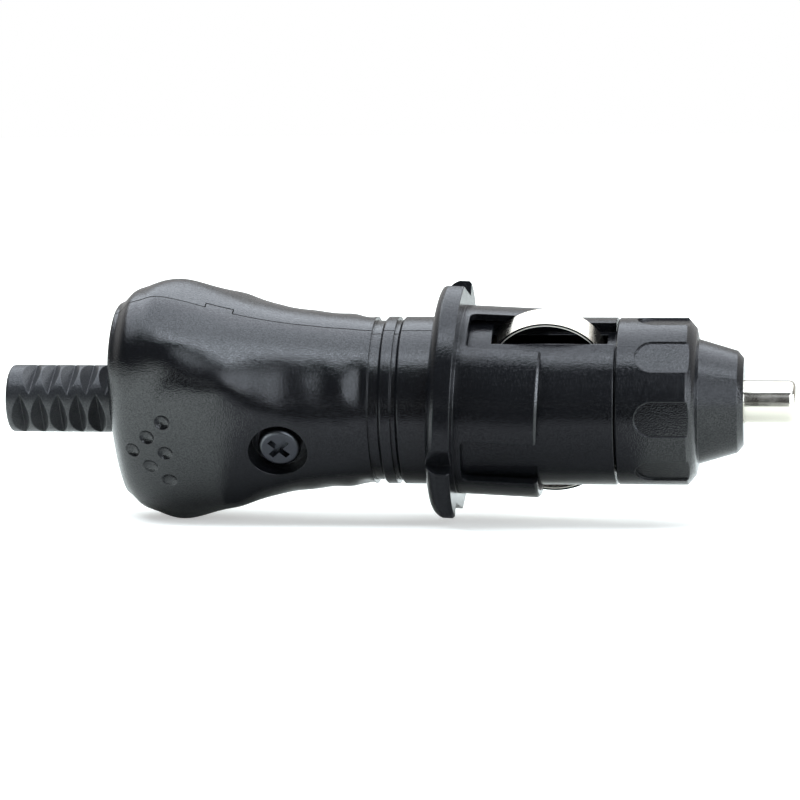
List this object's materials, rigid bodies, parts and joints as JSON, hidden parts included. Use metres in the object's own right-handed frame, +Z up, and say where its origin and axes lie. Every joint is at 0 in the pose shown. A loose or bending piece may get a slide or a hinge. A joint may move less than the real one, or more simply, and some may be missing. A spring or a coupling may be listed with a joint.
{
  "type": "cigarette lighter plug",
  "caption": "Cigarette lighter plug with a screwed grip, strain relief, turning locking collar, sprung side contacts and a screw-off nose that holds a fuse and a sprung centre pin.",
  "frame": {"origin": "on the plug's axis at the flange face that seats on the socket's rim", "axes": "+X along the plug towards the tip of its centre pin, +Z up as the plug lies on a table, with its screw face turned 30 degrees down"},
  "size_m": [0.0984, 0.0296, 0.0304],
  "materials": {
    "black_plastic": "fine moulded texture",
    "black_rubber": "matte",
    "pale_plastic": "matte",
    "dark_steel": "blackened",
    "zinc_steel": "zinc plated",
    "nickel_plate": "nickel plated",
    "brass": "stamped",
    "fuse_glass": "clear"
  },
  "bodies": {
    "grip": {"handle_front_half": "black_plastic", "handle_rear_half": "black_plastic", "handle_screw": "dark_steel", "strain_relief": "black_rubber", "cord_clamp_bar": "black_plastic", "cord_clamp_screws": "zinc_steel", "barrel": "black_plastic", "earth_strap": "brass", "earth_terminal_screw": "zinc_steel", "fuse_holder": "pale_plastic", "live_contact": "brass", "live_terminal_screw": "zinc_steel", "pin_spring": "zinc_steel"},
    "collar": {"locking_collar": "black_plastic"},
    "upper_contact": {"upper_contact_spring": "nickel_plate"},
    "lower_contact": {"lower_contact_spring": "nickel_plate"},
    "pin_seat": {"pin_washer": "pale_plastic"},
    "pin": {"centre_pin": "nickel_plate", "fuse_front_cap": "nickel_plate", "fuse_rear_cap": "nickel_plate", "fuse_tube": "fuse_glass", "fuse_wire": "zinc_steel"},
    "cap": {"nose_cap": "black_plastic"}
  },
  "joints": [
    {"name": "collar_turn", "type": "hinge", "parent": "grip", "child": "collar", "pos_m": [0, 0, 0], "axis": [-1, 0, 0], "range_deg": [0, 12]},
    {"name": "upper_contact_press", "type": "hinge", "parent": "grip", "child": "upper_contact", "pos_m": [0.0026, -0.00392, 0.00678], "axis": [0, 0.866, 0.5], "range_deg": [0, 13], "stiffness_Nm_per_rad": 0.18, "springref_deg": -2.86},
    {"name": "lower_contact_press", "type": "hinge", "parent": "grip", "child": "lower_contact", "pos_m": [0.0026, 0.00392, -0.00678], "axis": [0, -0.866, -0.5], "range_deg": [0, 13], "stiffness_Nm_per_rad": 0.18, "springref_deg": -2.86},
    {"name": "cap_travel", "type": "slide", "parent": "grip", "child": "pin_seat", "axis": [1, 0, 0], "range_m": [0, 0.006]},
    {"name": "cap_turn", "type": "hinge", "parent": "pin_seat", "child": "cap", "pos_m": [0, 0, 0], "axis": [1, 0, 0], "range_deg": [0, 1440]},
    {"name": "pin_press", "type": "slide", "parent": "pin_seat", "child": "pin", "axis": [-1, 0, 0], "range_m": [0, 0.0035], "stiffness_N_per_m": 2000, "springref_m": -0.002, "deforming": ["pin_spring"]}
  ],
  "couplings": [
    {"joint": "cap_travel", "follows": "cap_turn", "m_per_rad": 0.00023873}
  ]
}
